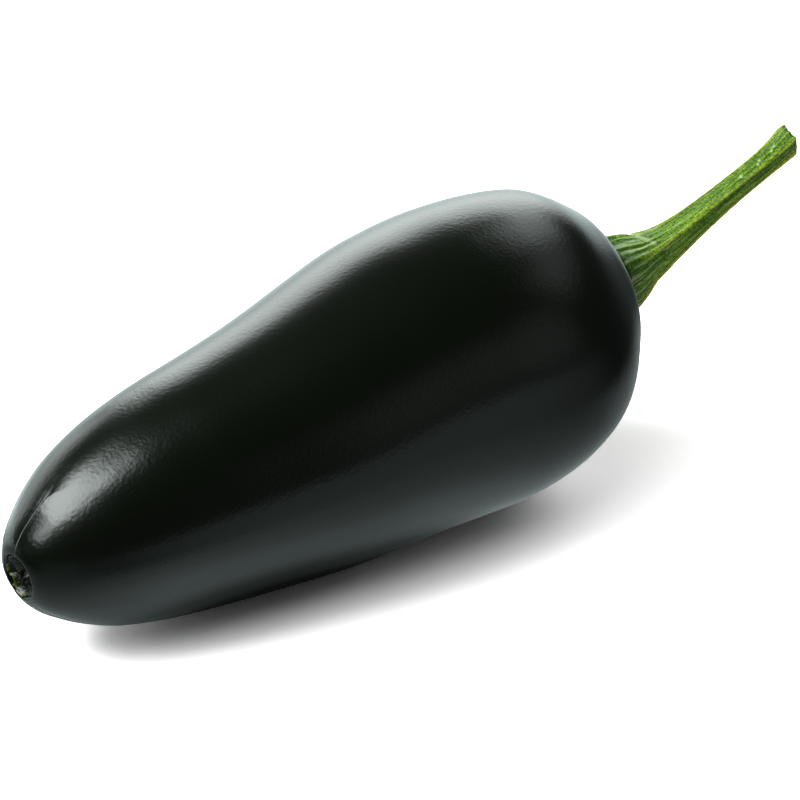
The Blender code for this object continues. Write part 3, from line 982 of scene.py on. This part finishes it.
# The room is almost dark, but the camera sees pure white past the edge of the table top
ROOM_LIGHT = 0.04
SEEN_WHITE = 1.3


def direction(azimuth, elevation):
    """The way to a place at this azimuth and elevation, in degrees: 0 is towards -Y, and 90 towards +X."""
    a, e = math.radians(azimuth), math.radians(elevation)
    return Vector((math.sin(a) * math.cos(e), -math.cos(a) * math.cos(e), math.sin(e)))


def soft_box(name, azimuth, elevation, width, height, radiance, fades):
    """A rectangular lamp that faces the pepper. It fades in over these shares of its width and height:
    from the side of lower azimuth, from the other side, from below and from above."""
    towards = direction(azimuth, elevation)
    bpy.ops.object.light_add(
        type="AREA", location=towards * LAMP_DISTANCE, rotation=towards.to_track_quat("Z", "Y").to_euler()
    )
    lamp = bpy.context.object
    lamp.name = lamp.data.name = name
    lamp.visible_camera = False
    lamp.data.shape = "RECTANGLE"
    lamp.data.size = 2 * LAMP_DISTANCE * math.tan(math.radians(width / 2))
    lamp.data.size_y = 2 * LAMP_DISTANCE * math.tan(math.radians(height / 2))
    lamp.data.energy = radiance * math.pi * lamp.data.size * lamp.data.size_y
    lamp.data.color = LAMP_COLOUR
    lamp.data.use_nodes = True
    spot = add_node(lamp.data, "NewGeometry")
    split = add_node(lamp.data, "SeparateXYZ")
    link(lamp.data, spot.outputs["Parametric"], split.inputs["Vector"])
    strength = lamp.data.node_tree.nodes["Emission"].inputs["Strength"]
    for way, from_start, share in zip("XXYY", (True, False, True, False), fades):
        fade = add_node(lamp.data, "MapRange", {"interpolation_type": "SMOOTHSTEP"})
        edges = (0.0, share, 0.0, 1.0) if from_start else (1.0 - share, 1.0, 1.0, 0.0)
        for socket, value in zip(("From Min", "From Max", "To Min", "To Max"), edges):
            fade.inputs[socket].default_value = value
        product = add_node(lamp.data, "Math", {"operation": "MULTIPLY"})
        product.inputs[0].default_value = 1.0
        link(lamp.data, split.outputs[way], fade.inputs["Value"])
        link(lamp.data, fade.outputs["Result"], product.inputs[1])
        link(lamp.data, product.outputs["Value"], strength)
        strength = product.inputs[0]
    return lamp


soft_box(*MAIN_BOX)
for lamp in HIGHLIGHT_ENDS:
    soft_box(*lamp).visible_diffuse = False
for lamp in OTHER_BOXES:
    soft_box(*lamp)
for lamp in FILLS:
    soft_box(*lamp).visible_glossy = False

world = bpy.data.worlds.new("studio")
bpy.context.scene.world = world
world.use_nodes = True
background = world.node_tree.nodes["Background"]
background.inputs["Color"].default_value = (1.0, 1.0, 1.0, 1.0)
path = add_node(world, "LightPath")
seen_strength = add_node(world, "Mix", {"data_type": "FLOAT"}, A=ROOM_LIGHT, B=SEEN_WHITE)
link(world, path.outputs["Is Camera Ray"], seen_strength.inputs["Factor"])
link(world, seen_strength.outputs["Result"], background.inputs["Strength"])

# The camera
# It looks down on the pepper from the side of the blossom end, as in the photograph, through a long lens.
# Its place and lens are fitted to the outline there.

CAMERA_AZIMUTH = -38.2
CAMERA_ELEVATION = 29.2
CAMERA_DISTANCE = 0.45
CAMERA_TARGET = Vector((-3.25, 0.0, 14.2)) * MM
CAMERA_LENS = 192.2
CAMERA_SENSOR = 36

back = direction(CAMERA_AZIMUTH, CAMERA_ELEVATION)
bpy.ops.object.camera_add(
    location=CAMERA_TARGET + back * CAMERA_DISTANCE, rotation=back.to_track_quat("Z", "Y").to_euler()
)
camera = bpy.context.object
camera.data.lens = CAMERA_LENS
camera.data.sensor_width = CAMERA_SENSOR
bpy.context.scene.camera = camera
bpy.context.scene.view_settings.view_transform = "Standard"
